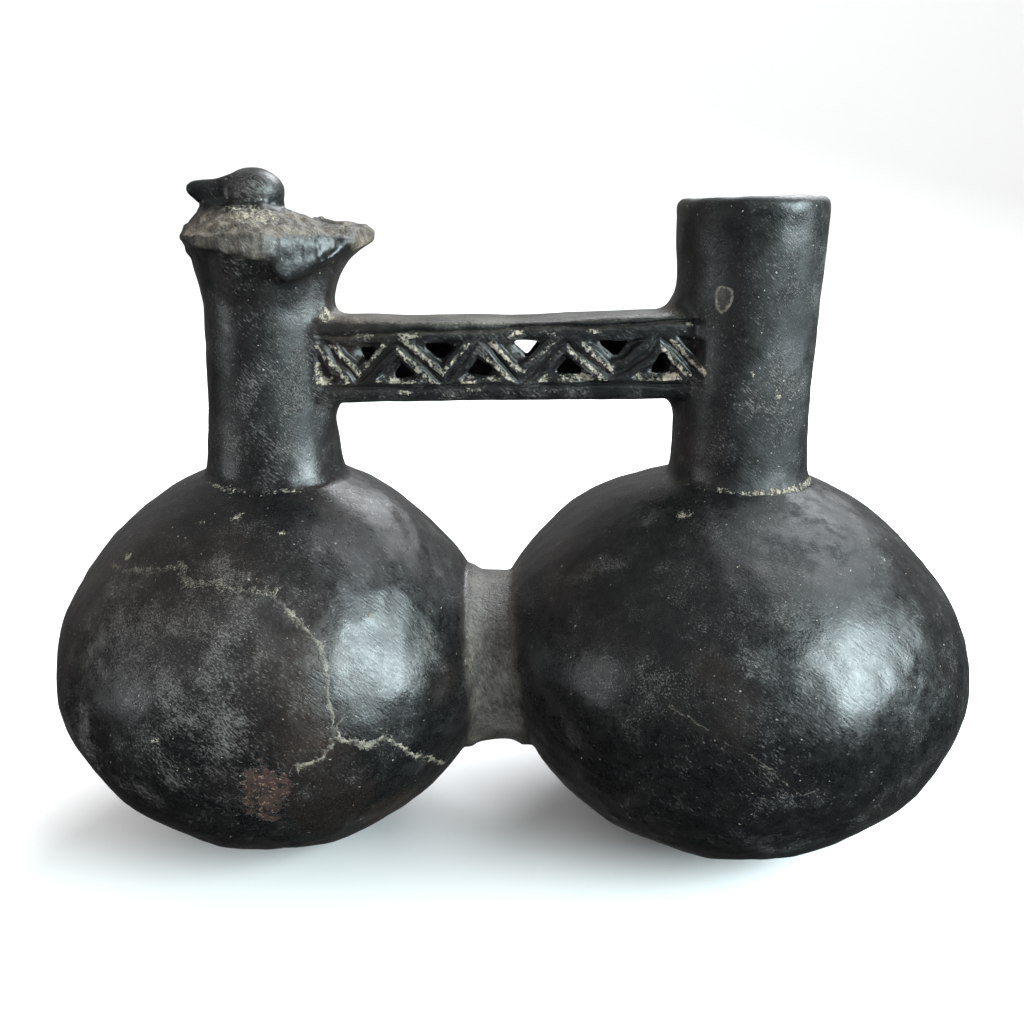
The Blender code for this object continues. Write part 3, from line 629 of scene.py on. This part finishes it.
def sculpted(obj):
    b, n, g = bodies, necks, bridge
    place, facing = readMesh(obj.data)
    x, y, z = place.T
    left, right = x < -30.0, x > 30.0
    onBridgeShare = band(x, (-44.0, -40.0), (37.0, 41.0)) * smooth(111.0, 113.0, z)
    hand = b["handLumps"] * lumps(place, b["handLumpSize"], 3) + b["fineLumps"] * lumps(place, b["fineLumpSize"], 5)
    push = hand * (1 - 0.55 * onBridgeShare) * smooth(0.0, 6.0, z)
    # the rough crust under the head, the broken edges of the flange and the stub, and the spout's rim
    steep, level = smooth(0.2, 0.7, 1 - np.abs(facing[:, 2])), smooth(0.5, 0.9, facing[:, 2])
    for name, share in (("crust", x < -44.0), ("brokenEdge", left * steep), ("flangeTop", left * level)):
        start, end, rows = rough[name]
        push += share * band(z, start, end) * sum(depth * lumps(place * (1.0, 1.0, tall), size, seed)
                                                  for depth, size, seed, tall in rows)
    push += smooth(*rough["spoutRim"], z) * right * rough["rimLumps"] * lumps(place, rough["rimLumpSize"], 15)
    place += facing * push[:, None]
    # the carved front and back
    for sign, tips in ((-1.0, g["frontTips"]), (1.0, g["backTips"])):
        share = smooth(0.35, 0.8, sign * facing[:, 1]) * smooth(g["halfDepth"] - 1.6, g["halfDepth"] - 0.8, sign * y)
        share = share * (z > g["carvedLow"]) * (z < g["carvedHigh"])
        share = share * smooth(*g["carvedFrom"], x) * (1 - smooth(*g["carvedTo"], x))
        picked = share > 0.0
        depth = reliefDepth(x[picked], overMiddle(x[picked], z[picked]), tips)
        place[picked, 1] -= sign * depth * share[picked]
    leaning = smooth(*n["leanHeights"], z)
    place[:, 0] += leaning * (n["rightLean"] * smooth(*n["leanX"], x))
    rimShare = smooth(150.0, 158.0, place[:, 2]) * (place[:, 0] > 30.0)
    place[:, 2] += rimShare * n["rimTilt"] * (place[:, 0] - n["rightX"]) / n["rimTiltOver"]
    obj.data.vertices.foreach_set("co", place.astype(np.float32).ravel())
    obj.data.update()


marks = {
    # the cracks and the scratch, as x, y and height
    "topCrack": [(-94.2, -20.6, 78.5), (-86.6, -28.8, 79.5), (-78.1, -33.0, 81.2), (-72.9, -33.5, 83.0),
                 (-70.6, -37.6, 80.0), (-62.8, -39.2, 80.0), (-59.2, -40.1, 79.4), (-51.3, -40.2, 78.3)],
    "longCrack": [(-51.3, -40.2, 78.3), (-47.4, -42.1, 74.9), (-43.2, -43.8, 70.7), (-40.7, -44.7, 67.8),
                  (-39.5, -46.4, 64.0), (-39.0, -48.5, 59.1), (-38.2, -49.4, 55.1), (-38.0, -50.4, 50.2),
                  (-38.3, -50.7, 48.4), (-40.6, -51.8, 45.0), (-45.3, -53.2, 44.3)],
    "rightCrack": [(-38.0, -50.5, 49.5), (-34.9, -49.3, 47.9), (-31.1, -47.5, 45.9), (-28.2, -45.6, 46.8),
                   (-26.0, -43.9, 45.0), (-23.1, -41.0, 40.6), (-19.3, -35.5, 36.8), (-16.2, -25.6, 29.3)],
    "scratch": [(32.9, -53.6, 58.6), (41.0, -56.6, 54.8), (50.3, -58.7, 49.8), (62.1, -57.1, 39.3)],
    # the reddish patch where the skin has flaked off, and a small flake on the spout, as x and height
    "patch": [(-54.4, 47.0), (-46.2, 43.4), (-47.4, 36.4), (-51.6, 28.0), (-57.8, 30.2), (-58.2, 39.6)],
    "flake": [(46.6, 141.6), (49.0, 140.9), (49.5, 139.2), (48.4, 136.6), (47.4, 135.6), (46.3, 136.9),
              (46.0, 139.6)],
    # cream crumbs: place, radius and strength; the last two, on the tube's left end, are a painted highlight in the
    # crumbs' tone
    "crumbs": [((-87.1, -24.5, 82.0), 2.6, 0.72), ((-62.1, -24.7, 91.4), 3.0, 0.66),
               ((-50.9, -28.3, 88.5), 2.4, 0.70), ((-24.7, -41.9, 53.0), 0.9, 0.85),
               ((-21.4, -39.7, 49.6), 1.0, 0.85), ((-42.5, 5.4, 135.3), 2.6, 0.8), ((-56.7, -15.2, 130.0), 2.4, 0.5),
               ((-44.1, -9.5, 123.1), 2.4, 0.8), ((39.5, -22.8, 91.1), 4.0, 0.62), ((66.8, -43.3, 17.0), 1.6, 0.7),
               ((-75.4, -52.2, 49.7), 2.2, 0.6), ((44.6, -12.5, 142.4), 0.8, 0.8), ((54.5, -16.6, 137.3), 1.3, 0.8),
               ((54.6, -16.3, 122.3), 1.3, 0.8), ((61.1, -15.3, 116.9), 1.4, 0.85), ((47.1, -13.8, 107.3), 0.9, 0.8),
               ((-44.0, -36.0, 82.0), 2.2, 0.66), ((-38.0, -33.0, 81.0), 1.6, 0.66), ((-31.0, -36.0, 72.0), 1.4, 0.6),
               ((50.0, -30.0, 88.0), 2.2, 0.55), ((-70.0, -25.0, 90.0), 2.0, 0.6), ((-42.6, -7.5, 134.6), 3.2, 0.8),
               ((-45.0, -9.3, 121.0), 2.0, 0.75), ((41.0, -8.8, 132.8), 1.6, 0.75), ((-48.6, -20.0, 152.0), 1.3, 0.7),
               ((-38.6, -5.0, 155.3), 2.4, 0.8), ((-35.2, -7.4, 151.4), 1.2, 0.62), ((-11.5, -21.0, 54.0), 6.0, 0.6),
               ((-11.5, -22.5, 44.0), 5.0, 0.56)],
    # places with a brown tinge, and with more dust on them, in the same form; the strongest dust spot, on the tube, is
    # partly dust and partly a painted highlight
    "brown": [((-66.9, -40.9, 77.4), 26.0, 0.8), ((-48.0, -47.0, 66.0), 20.0, 0.9), ((-85.0, -30.0, 78.0), 22.0, 0.7),
              ((-105.0, -20.0, 60.0), 26.0, 0.6), ((-45.0, -51.0, 54.0), 15.0, 0.8),
              ((-28.3, -33.5, 22.4), 10.0, 1.0), ((-40.0, 0.0, 134.0), 22.0, 0.6), ((-66.0, -10.0, 154.0), 10.0, 1.0),
              ((45.0, -8.0, 103.0), 12.0, 0.6), ((12.0, -20.0, 76.0), 18.0, 0.5), ((80.0, -35.0, 40.0), 20.0, 0.35),
              ((-40.4, -51.1, 50.0), 6.0, 1.0)],
    "dust": [((-66.0, -50.0, 60.0), 30.0, 0.9), ((-88.0, -40.0, 68.0), 22.0, 0.8), ((-95.0, -36.0, 46.0), 18.0, 0.9),
             ((-64.0, -40.0, 79.0), 14.0, 0.9), ((-50.0, -12.0, 118.0), 22.0, 0.7), ((62.0, -14.0, 120.0), 18.0, 0.6),
             ((66.0, -12.0, 145.0), 16.0, 0.45), ((60.0, -50.0, 72.0), 26.0, 0.3), ((-57.0, -20.0, 150.0), 12.0, 0.8),
             ((0.0, -10.0, 124.0), 44.0, 0.6), ((-3.7, -20.0, 48.0), 15.0, 1.6), ((-60.0, -4.0, 162.0), 11.0, 0.9),
             ((-57.0, -14.0, 104.0), 14.0, 0.7), ((-25.0, -38.0, 62.0), 20.0, 0.5), ((90.0, -35.0, 40.0), 20.0, 0.5)],
    # joints that were smoothed over by hand, and places that have lost their sheen, in the same form
    "softJoints": [((-46.0, -17.0, 150.0), 8.0, 0.45), ((-44.0, -8.0, 139.5), 9.0, 1.0),
                   ((-44.0, 8.0, 139.5), 9.0, 1.0), ((-44.0, -8.0, 132.5), 7.0, 1.0), ((-44.0, 8.0, 132.5), 7.0, 1.0),
                   ((38.5, -5.0, 138.5), 7.0, 1.0), ((38.5, 5.0, 138.5), 7.0, 1.0), ((37.5, -5.0, 111.5), 6.5, 1.0),
                   ((37.5, 5.0, 111.5), 6.5, 1.0), ((-42.0, -5.0, 111.5), 6.5, 1.0), ((-42.0, 5.0, 111.5), 6.5, 1.0)],
    "dull": [((66.0, -30.0, 90.0), 30.0, 1.0), ((62.0, -14.0, 138.0), 21.0, 1.0), ((62.0, -14.0, 114.0), 20.0, 1.0),
             ((-52.0, -13.0, 118.0), 20.0, 0.9), ((-60.0, -18.0, 150.0), 8.0, 0.5), ((56.0, 0.0, 162.5), 15.0, 0.9),
             ((50.0, -10.0, 162.5), 14.0, 0.9), ((-60.0, -46.0, 70.0), 22.0, 0.8), ((20.0, -30.0, 84.0), 24.0, 0.6),
             ((-80.0, -38.0, 40.0), 26.0, 0.6), ((60.0, -50.0, 20.0), 30.0, 0.6)],
    # the crust at the roots of the necks: its height and radius, and its strength from left to right
    "spoutRing": 94.7, "spoutRingRadius": 17.5, "leftRing": 94.9, "leftRingRadius": 17.6,
    "spoutRingShare": ((40.0, 0.5), (52.0, 0.6), (57.0, 0.66), (62.0, 0.72), (72.0, 0.68)), "spoutRingBehind": 0.35,
    "leftRingShare": ((-76.0, 0.3), (-70.0, 0.7), (-65.0, 0.62), (-61.0, 0.3), (-55.0, 0.62), (-51.0, 0.6),
                      (-47.0, 0.3)),
    # how much crust the zigzag's rising bars keep from left to right, and its other bars and ledges
    "risingShare": ((-36.0, 0.55), (-26.0, 0.72), (-12.0, 0.66), (7.0, 0.62), (20.0, 0.45), (26.0, 0.3)),
    "fallingShare": 0.76, "ledgeShare": 0.64, "underHead": 0.7,
    # crumbs on the bridge's rails: x, half their length, height over the middle line and strength
    "railCrumbs": [(-23.6, 5.6, 5.9, 0.74), (1.2, 3.6, 6.2, 0.8), (19.0, 3.4, 6.4, 0.7), (9.0, 2.6, 6.2, 0.55),
                   (-34.0, 5.0, 6.0, 0.56), (-25.0, 3.6, -7.2, 0.66), (-8.0, 5.0, -6.6, 0.55),
                   (-15.0, 5.0, -8.0, 0.55), (10.0, 4.5, -7.4, 0.45)],
    # how much bare clay shows along the tube and along the bridge's top, and on the flange; along the tube its rise at
    # the left end is a painted highlight on the lit fillet
    "tubeClayAndHighlight": ((-13.0, 1.25), (-9.0, 1.2), (-5.0, 0.85), (2.0, 0.75), (6.0, 0.85)),
    "topClay": ((-40.0, 0.42), (-10.0, 0.34), (5.0, 0.2), (30.0, 0.24)), "flangeTopClay": 0.7, "flangeFaceClay": 0.3,
}

# the patch and the flake show only in front of this Y, and elsewhere a point is this far outside them
frontOf = {"patch": -20.0, "flake": -8.0}
farOutside = -9.0


def leftToRight(x, rows):  # a value that changes from left to right
    return np.interp(x, *zip(*rows))


def nearness(place, spots, size):  # how near each point is to the nearest of these spots, from 0 to its strength
    share = np.zeros(len(place))
    for middle, radius, strength in spots:
        away = np.linalg.norm(place - np.array(middle), axis=1) / radius
        np.maximum(share, strength * (1 - smooth(size, 1.0, away)), out=share)
    return share


def lineReach(place, facing, points):  # signed distance across a line on the surface, never zero past its ends
    best = np.full(len(place), 1e9)
    across = np.full(len(place), 9.0)
    for start, end in zip(points, points[1:]):
        start, way = np.array(start), np.array(end) - np.array(start)
        share = (place - start) @ way / (way @ way)
        off = place - start - np.clip(share, 0.0, 1.0)[:, None] * way
        away = np.linalg.norm(off, axis=1)
        side = np.sign(np.einsum("ij,ij->i", np.cross(np.broadcast_to(way, place.shape), facing), off))
        closer = away < best
        best = np.where(closer, away, best)
        across = np.where(closer, side * away, across)
    first, last = np.array(points[0]), np.array(points[-1])
    ends = np.minimum(np.linalg.norm(place - first, axis=1), np.linalg.norm(place - last, axis=1))
    across = np.where(ends <= best + 0.001, best + 0.4, across)
    return np.clip(across, -9.0, 9.0), 1 - smooth(1.6, 3.2, best)


def insideReach(x, z, outline):  # how far a point is inside an outline, negative outside
    turn = sum(x0 * z1 - x1 * z0 for (x0, z0), (x1, z1) in zip(outline, outline[1:] + outline[:1]))
    reach = np.full(len(x), 1e9)
    for (x0, z0), (x1, z1) in zip(outline, outline[1:] + outline[:1]):
        across = ((x1 - x0) * (z - z0) - (z1 - z0) * (x - x0)) / math.hypot(x1 - x0, z1 - z0)
        reach = np.minimum(reach, across * math.copysign(1.0, turn))
    return reach


def limeShare(place, facing):  # where pale crust has stayed: in creases, on ledges and under the head
    x, y, z = place.T
    g, n = bridge, necks
    # the last two crumbs, on the tube's left end, are a painted highlight, not crust
    lime = nearness(place, marks["crumbs"], 0.35)
    front = smooth(0.1, 0.5, -facing[:, 1]) * (y < -6.0) * (z > 112.0) * (z < 138.0) * (x > -46.0) * (x < 45.0)
    over = overMiddle(x, z)
    near, side, rising = zigzag(x, over, g["frontTips"])
    inZone = (over > g["zoneLow"] - 0.3) & (over < g["zoneHigh"] - 0.4)
    kept = np.where(rising, leftToRight(x, marks["risingShare"]) * (side > 0), marks["fallingShare"])
    ridge = (1 - smooth(0.35, 1.25, np.abs(np.abs(side) - 1.5))) * inZone * kept
    low = g["zoneLow"]
    ledge = smooth(2.2, 2.9, near) * (1 - smooth(low + 1.1, low + 2.2, over)) * (over > low - 0.4)
    np.maximum(lime, front * ridge, out=lime)
    np.maximum(lime, front * (marks["ledgeShare"] + 0.12 * lumps(place, 5.0, 16)) * ledge, out=lime)
    for middle, wide, high, strength in marks["railCrumbs"]:
        patch = (1 - smooth(0.3, 1.0, np.abs(x - middle) / wide)) * (1 - smooth(0.3, 1.0, np.abs(over - high) / 1.25))
        np.maximum(lime, front * strength * patch, out=lime)
    # the crumbly band under the head, broad at the back of the bird's neck
    crumbly = 1 - smooth(0.5, 1.5, np.hypot((x + 57.6) / 8.4, (z - 156.9 + 0.12 * (x + 57.6)) / 2.2))
    np.maximum(lime, marks["underHead"] * (crumbly * (x < -44.0) * (y < 3.0)), out=lime)
    # the joints at the roots of the necks
    around = leftToRight(x, marks["spoutRingShare"]) * (y < 6.0) + marks["spoutRingBehind"] * (y >= 6.0)
    away = np.hypot(np.hypot(x - n["rightX"], y) - marks["spoutRingRadius"], z - marks["spoutRing"])
    np.maximum(lime, around * (1 - smooth(0.5, 1.7, away)), out=lime)
    around = leftToRight(x, marks["leftRingShare"])
    away = np.hypot(np.hypot(x - n["leftX"], y) - marks["leftRingRadius"], z - marks["leftRing"])
    np.maximum(lime, around * (1 - smooth(0.6, 2.0, away)), out=lime)
    return lime


def tubeShare(place):  # where the tube's greyer tone goes
    x, y, z = place.T
    b, middle = bodies, bodies["tubeMiddle"]
    near = 1 - smooth(*b["tubeLook"], np.hypot(y, z - middle[2]))
    return near * (1 - smooth(*b["tubeLookHalf"], np.abs(x - middle[0])))


def clayShare(place, facing):  # bare clay: the broken flange, the stub's end, the tube and the worn bridge top
    x, y, z = place.T
    left = (x < -30.0) * (z > 140.0)
    share = left * smooth(0.35, 0.75, facing[:, 2]) * smooth(151.6, 152.6, z) * (1 - smooth(156.6, 158.0, z))
    share = share * marks["flangeTopClay"]
    stubEnd = left * smooth(0.55, 0.75, facing[:, 0]) * smooth(-36.5, -34.5, x) * smooth(146.0, 148.5, z)
    face = left * smooth(0.3, 0.7, -facing[:, 1]) * smooth(-17.5, -19.0, y) * (1 - smooth(-54.5, -49.5, x))
    face = face * smooth(147.0, 148.6, z) * marks["flangeFaceClay"]
    share = np.maximum(np.maximum(share, stubEnd), face)
    # along the tube the share rises at the left end as a painted highlight
    share = np.maximum(share, leftToRight(x, marks["tubeClayAndHighlight"]) * tubeShare(place))
    top = (np.abs(y) < 12.0) * smooth(0.4, 0.85, facing[:, 2]) * smooth(128.0, 131.0, z) * (z < 140.0)
    return np.maximum(share, top * (x > -44.0) * (x < 40.0) * leftToRight(x, marks["topClay"]))


def writeAttribute(data, name, values):
    layer = data.attributes.new(name, "FLOAT", "POINT")
    layer.data.foreach_set("value", np.asarray(values, np.float32))


def makeVessel():
    g = bridge
    vessel = fused(gathered("blackware_bottle", outerForms()), mesh["voxel"], mesh["smoothTimes"])
    print("vessel: skin", len(vessel.data.polygons))
    eased(vessel, marks["softJoints"], mesh["easeTimes"])
    refined(vessel)
    sculpted(vessel)
    print("vessel: carved", len(vessel.data.polygons))
    inner = fused(gathered("hollow", innerForms()), mesh["innerVoxel"], mesh["innerSmoothTimes"])
    carved(vessel, inner)
    carved(vessel, gathered("spout_bore", [spoutBore()]))
    outside, inside = g["halfDepth"] + g["cutOver"], g["halfDepth"] - g["wall"] - g["cutIn"]
    windows = [windowForm(*row, -outside, -inside) for row in g["frontWindows"]]
    windows += [windowForm(*row, inside, outside) for row in g["backWindows"]]
    carved(vessel, gathered("windows", windows))
    print("vessel: hollow and pierced", len(vessel.data.polygons))
    thin = vessel.modifiers.new("fewer", "DECIMATE")
    thin.ratio = min(1.0, mesh["trianglesWanted"] / sum(len(p.vertices) - 2 for p in vessel.data.polygons))
    settled(vessel)
    bm = bmesh.new()
    bm.from_mesh(vessel.data)
    bmesh.ops.triangulate(bm, faces=bm.faces)
    loose = [v for v in bm.verts if not v.link_faces]
    bmesh.ops.delete(bm, geom=loose, context="VERTS")
    gaps = sum(1 for e in bm.edges if len(e.link_faces) != 2)
    for vert in bm.verts:
        vert.co.z = max(vert.co.z, 0.0)
    bm.to_mesh(vessel.data)
    bm.free()
    place, facing = readMesh(vessel.data)
    writeAttribute(vessel.data, "lime", limeShare(place, facing))
    writeAttribute(vessel.data, "clay", clayShare(place, facing))
    writeAttribute(vessel.data, "tube", tubeShare(place))
    for name in ("brown", "dust", "dull"):
        writeAttribute(vessel.data, name, nearness(place, marks[name], 0.2))
    for name in ("patch", "flake"):
        within = insideReach(place[:, 0], place[:, 2], marks[name])
        writeAttribute(vessel.data, name, np.where(place[:, 1] < frontOf[name], within, farOutside))
    nearLine = np.zeros(len(place))
    for name in ("topCrack", "longCrack", "rightCrack", "scratch"):
        across, near = lineReach(place, facing, marks[name])
        nearLine = np.maximum(nearLine, near)
        writeAttribute(vessel.data, name, across)
    writeAttribute(vessel.data, "nearLine", nearLine)
    vessel.data.vertices.foreach_set("co", (place * mm).astype(np.float32).ravel())
    vessel.data.update()
    vessel.data.shade_smooth()
    print("vessel:", len(vessel.data.polygons), "triangles,", gaps, "open edges")
    return vessel


def blackware():
    paint = Paint("burnished_blackware")
    metres = paint.add("TexCoord", None, None, "Object")
    place = paint.add("VectorMath", {"operation": "MULTIPLY"}, {0: metres, 1: (1 / mm, 1 / mm, 1 / mm)})

    def field(name):
        return paint.add("Attribute", {"attribute_name": name}, None, "Fac")

    clouds = paint.noise(place, 0.035, 2.0, 0.5)
    patches = paint.noise(place, 0.12, 3.0, 0.6)
    mottle = paint.noise(place, 0.45, 4.0, 0.65)
    grain = paint.noise(place, 2.1, 2.0, 0.6)

    def drawnOut(angle, share):  # the clay's place for a pattern drawn out along strokes at this angle
        return paint.add("Mapping", {"vector_type": "TEXTURE"},
                         {"Vector": place, "Rotation": (0.0, math.radians(angle), 0.0), "Scale": (share, 1.0, 1.0)})

    turned = drawnOut(40, 6.0)
    strokes = paint.noise(turned, 2.3, 3.0, 0.62, 0.35)
    combed = paint.noise(drawnOut(72, 5.0), 1.9, 3.0, 0.62)
    # the fired skin: blue-black with a brown tinge here and there
    tinge = field("brown") * paint.steps(patches + clouds * 0.5, 0.55, 0.85, 0.35, 1.0)
    brown = paint.lesser(tinge + paint.steps(clouds, 0.56, 0.72) * 0.35, 1.0)
    colour = paint.mix(paint.steps(mottle, 0.3, 0.7), tones["skinDark"], tones["skinPale"])
    colour = paint.mix(brown * 0.8, colour, tones["brown"])
    # grey dust in fine strokes and specks, thicker where the skin is worn; on the tube the dust is partly a painted
    # highlight
    worn = (patches - 0.5) * 0.45 + field("dust") * 0.14
    dust = paint.steps(strokes * 0.55 + grain * 0.45 + worn, 0.60, 0.76)
    colour = paint.mix(dust * 0.42, colour, tones["dust"])
    fine = paint.noise(turned, 4.4, 2.0, 0.7)
    flecks = paint.steps(fine + worn * 0.6 + (patches - 0.5) * 0.2, 0.615, 0.715)
    colour = paint.mix(flecks * 0.46, colour, tones["flecks"])
    specks = paint.steps(paint.noise(place, 1.15, 1.0, 0.5), 0.765, 0.80)
    colour = paint.mix(specks * 0.75, colour, tones["specks"])
    # bare clay, the tube's grey tone with a painted highlight at its left end, and the reddish patch where the skin
    # has flaked off
    clay = paint.lesser(field("clay") * paint.steps(mottle + strokes * 0.4, 0.4, 0.95, 0.55, 1.1), 1.0)
    clayTone = paint.mix(paint.steps(patches * 0.7 + combed * 0.6, 0.5, 0.82), tones["clayDark"], tones["clayPale"])
    greyTone = paint.mix(paint.steps(patches * 0.4 + combed * 0.5 + grain * 0.2, 0.4, 0.72), tones["tubeDark"],
                         tones["tubePale"])
    clayTone = paint.mix(field("tube") * 0.85, clayTone, greyTone)
    colour = paint.mix(clay * 0.85, colour, clayTone)
    crumbs = paint.noise(place, 0.85, 4.0, 0.72)
    flaked = paint.steps(field("patch") + (mottle - 0.5) * 8.0 + (crumbs - 0.5) * 5.0, 0.0, 1.2)
    flakedTone = paint.mix(paint.steps(mottle, 0.38, 0.6), tones["patchDark"], tones["patchRed"])
    flakedTone = paint.mix(paint.steps(grain * 0.7 + crumbs * 0.5, 0.66, 0.76) * 0.7, flakedTone, tones["patchDust"])
    colour = paint.mix(flaked * 0.88, colour, flakedTone)
    # cracks with pale crumbs along them
    bend = (mottle - 0.5) * 2.2 + (grain - 0.5) * 0.7
    crumble = paint.steps(paint.noise(place, 0.3, 3.0, 0.7), 0.36, 0.62, 0.12, 1.0)
    thin = paint.steps(paint.noise(place, 0.5, 3.0, 0.7), 0.38, 0.62, 2.0, 0.5)
    nearLine = field("nearLine")

    def line(name, half, sway=1.0):
        away = paint.add("Math", {"operation": "ABSOLUTE"}, {0: field(name) + bend * sway})
        return nearLine * (1 - paint.steps(away * thin + (grain - 0.5) * 1.6, half, half + 0.6))

    cracks = paint.greater(line("longCrack", 0.1), line("rightCrack", 0.3)) * crumble * 0.78
    cracks = paint.greater(cracks, line("topCrack", 0.6) * paint.steps(fine + mottle * 0.4, 0.64, 0.84) * 0.5)
    flake = field("flake") + bend * 0.15
    flakeRim = paint.steps(flake, -0.4, -0.05) * (1 - paint.steps(flake, 0.05, 0.45))
    flakeRim = flakeRim * paint.steps(grain, 0.38, 0.56, 0.35, 0.95)
    marksToo = paint.greater(line("scratch", -0.2, 0.5) * crumble * 0.5,
                             paint.greater(flakeRim, paint.steps(flake, 0.0, 0.5) * 0.16))
    # pale crust, and on the tube's left end a painted highlight in the same tone
    limeMask = paint.steps(field("lime") + (crumbs - 0.5) * 1.7 + (grain - 0.5) * 0.7, 0.56, 0.78)
    limeMask = paint.greater(limeMask, cracks)
    limeTone = paint.mix(paint.steps(mottle + grain * 0.3, 0.45, 0.85), tones["limeDark"], tones["limePale"])
    colour = paint.mix(paint.greater(limeMask * 0.88, marksToo * 0.6), colour, limeTone)
    height = paint.add("SeparateXYZ", None, {"Vector": place}, "Z")
    blotches = paint.steps(patches + (mottle - 0.5) * 0.5, 0.42, 0.62, 0.55, 1.0)
    sheen = paint.steps(height, 92.0, 104.0, 0.31, 0.38) + field("dull") * blotches * 0.5 + dust * 0.16
    uneven = (strokes - 0.5) * 0.3 + (mottle - 0.5) * 0.26 + (grain - 0.5) * 0.2 + (patches - 0.5) * 0.3
    roughness = paint.lesser(sheen + uneven + (limeMask + clay + flaked - field("tube") * 0.5) * 0.4, 0.95)
    relief = strokes * 0.065 + fine * 0.025 + grain * 0.035 + mottle * 0.08 + limeMask * 0.16 - flaked * 0.25
    relief = relief + clay * (combed + grain + mottle) * 0.26
    bump = paint.add("Bump", None, {"Strength": 1.0, "Distance": 0.001, "Height": relief})
    paint.shade({"Base Color": colour, "Roughness": roughness, "Normal": bump})
    return paint.material


makeStage()
makeLamps()
vessel = makeVessel()
vessel.data.materials.clear()
vessel.data.materials.append(blackware())
vessel.data.polygons.foreach_set("material_index", [0] * len(vessel.data.polygons))
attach(vessel, "root")
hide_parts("vessel")
print("vessel: painted")
